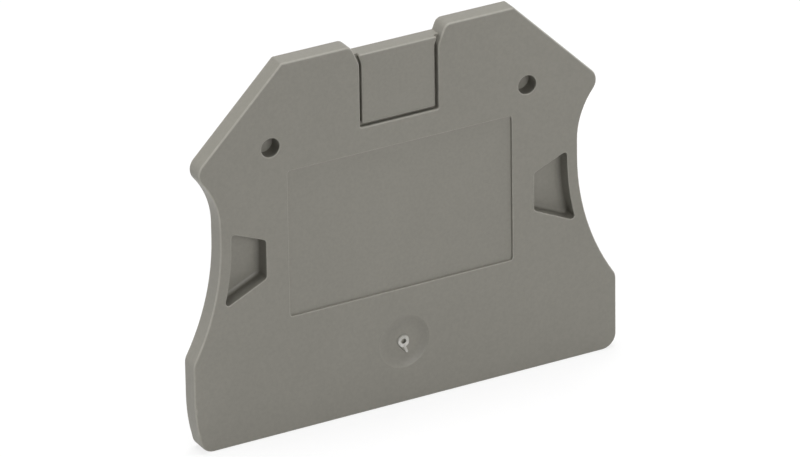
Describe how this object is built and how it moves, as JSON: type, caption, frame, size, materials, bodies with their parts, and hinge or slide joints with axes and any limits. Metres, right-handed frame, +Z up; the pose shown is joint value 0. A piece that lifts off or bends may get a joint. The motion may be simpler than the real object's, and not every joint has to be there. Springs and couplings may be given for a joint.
{
  "type": "terminal block end cover",
  "caption": "Thin moulded end cover for rail-mounted screw terminals, with a waisted outline, a scored break-out tab, recessed pockets, locating pegs and matching blind holes.",
  "frame": {"origin": "on the mating face, midway between the two locating pegs", "axes": "+X along the length of the terminal, +Y out of the mating face towards the terminal, +Z up, away from the rail"},
  "size_m": [0.0477, 0.0036, 0.0401],
  "materials": {
    "grey_plastic": "moulded grey polyamide with a very fine matte texture"
  },
  "bodies": {
    "root": {"end_cover": "grey_plastic"}
  },
  "joints": []
}
